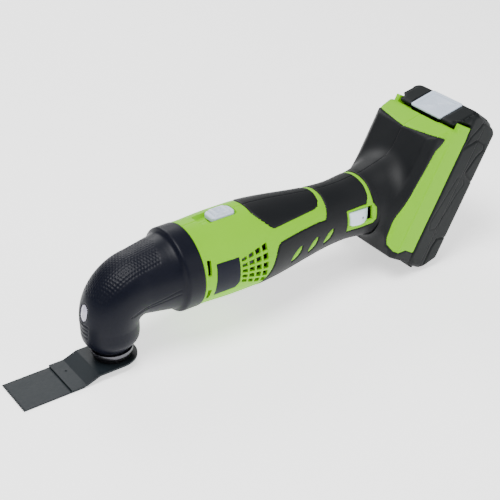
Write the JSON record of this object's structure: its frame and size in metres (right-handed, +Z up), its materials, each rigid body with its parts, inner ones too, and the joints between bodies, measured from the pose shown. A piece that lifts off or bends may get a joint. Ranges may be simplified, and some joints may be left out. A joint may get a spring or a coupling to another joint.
{
  "type": "cordless oscillating multi-tool",
  "caption": "Cordless oscillating multi-tool with right-angle head, plunge-cut blade, slide switch, speed dial and slide-on battery pack.",
  "frame": {"origin": "on the spindle axis, in the plane of the blade's underside", "axes": "+X from the spindle along the handle to the battery, +Z up along the spindle away from the blade, +Y across the tool"},
  "size_m": [0.3934, 0.072, 0.1208],
  "materials": {
    "green_plastic": "satin",
    "black_overmould": "matte",
    "head_plastic": "satin",
    "label_film": "smooth",
    "battery_plastic": "fine texture",
    "grey_plastic": "satin",
    "pale_plastic": "satin",
    "lens": "polished",
    "board": "solder mask",
    "cast_metal": "cast",
    "steel": "ground",
    "bright_steel": "turned",
    "blade_steel": "dark oxide",
    "motor_steel": "zinc plated",
    "magnet": "sintered",
    "copper": "enamelled wire",
    "contact_brass": "stamped",
    "dark_plastic": "moulded",
    "wire_cover": "insulation",
    "cell_wrap": "shrink film"
  },
  "bodies": {
    "tool": {"housing_left": "green_plastic", "housing_right": "green_plastic", "grip_left": "black_overmould", "grip_right": "black_overmould", "label_plate": "label_film", "housing_screws": "steel", "head_cover": "head_plastic", "light_lens": "lens", "light_board": "board", "gear_case": "cast_metal", "gear_case_screws": "steel", "lower_bearing": "steel", "upper_bearing": "steel", "bearing_retainer": "steel", "motor_can": "motor_steel", "motor_magnets": "magnet", "end_bell": "dark_plastic", "front_bearing": "steel", "rear_bearing": "steel", "brush_holders": "contact_brass", "brushes": "magnet", "brush_springs": "steel", "power_switch": "dark_plastic", "speed_board": "board", "terminal_block": "dark_plastic", "terminal_blades": "contact_brass", "motor_wires": "wire_cover", "battery_wires": "wire_cover"},
    "armature": {"motor_shaft": "steel", "armature_stack": "motor_steel", "windings": "copper", "commutator": "copper", "fan": "dark_plastic", "eccentric": "steel", "eccentric_bearing": "steel"},
    "spindle_set": {"spindle": "steel", "fork": "cast_metal", "spindle_flange": "bright_steel", "blade_carrier": "blade_steel", "saw_blade": "blade_steel", "clamp_washer": "steel", "clamp_screw": "steel"},
    "slide_switch": {"switch_button": "grey_plastic", "switch_link": "pale_plastic"},
    "speed_dial": {"dial_wheel": "pale_plastic"},
    "battery": {"battery_case_front": "battery_plastic", "battery_case_back": "battery_plastic", "cells": "cell_wrap", "cell_holder": "dark_plastic", "battery_board": "board", "battery_contacts": "contact_brass", "battery_screws": "steel", "latch_spring": "steel"},
    "battery_latch": {"latch_button": "grey_plastic"}
  },
  "joints": [
    {"name": "armature_spin", "type": "hinge", "parent": "tool", "child": "armature", "pos_m": [0, 0, 0.057], "axis": [1, 0, 0], "continuous": true},
    {"name": "spindle_swing", "type": "hinge", "parent": "tool", "child": "spindle_set", "pos_m": [0, 0, 0], "axis": [0, 0, 1], "range_deg": [-1.6, 1.6]},
    {"name": "switch_slide", "type": "slide", "parent": "tool", "child": "slide_switch", "axis": [-1, 0, 0], "range_m": [0, 0.008]},
    {"name": "dial_turn", "type": "hinge", "parent": "tool", "child": "speed_dial", "pos_m": [0.1975, -0.0102, 0.0536], "axis": [0, 0, 1], "range_deg": [-120, 120]},
    {"name": "pack_slide", "type": "slide", "parent": "tool", "child": "battery", "axis": [0.4848, 0, 0.8746], "range_m": [0, 0.09]},
    {"name": "latch_press", "type": "slide", "parent": "battery", "child": "battery_latch", "axis": [0.2181, 0, -0.9759], "range_m": [0, 0.0022], "stiffness_N_per_m": 900}
  ]
}
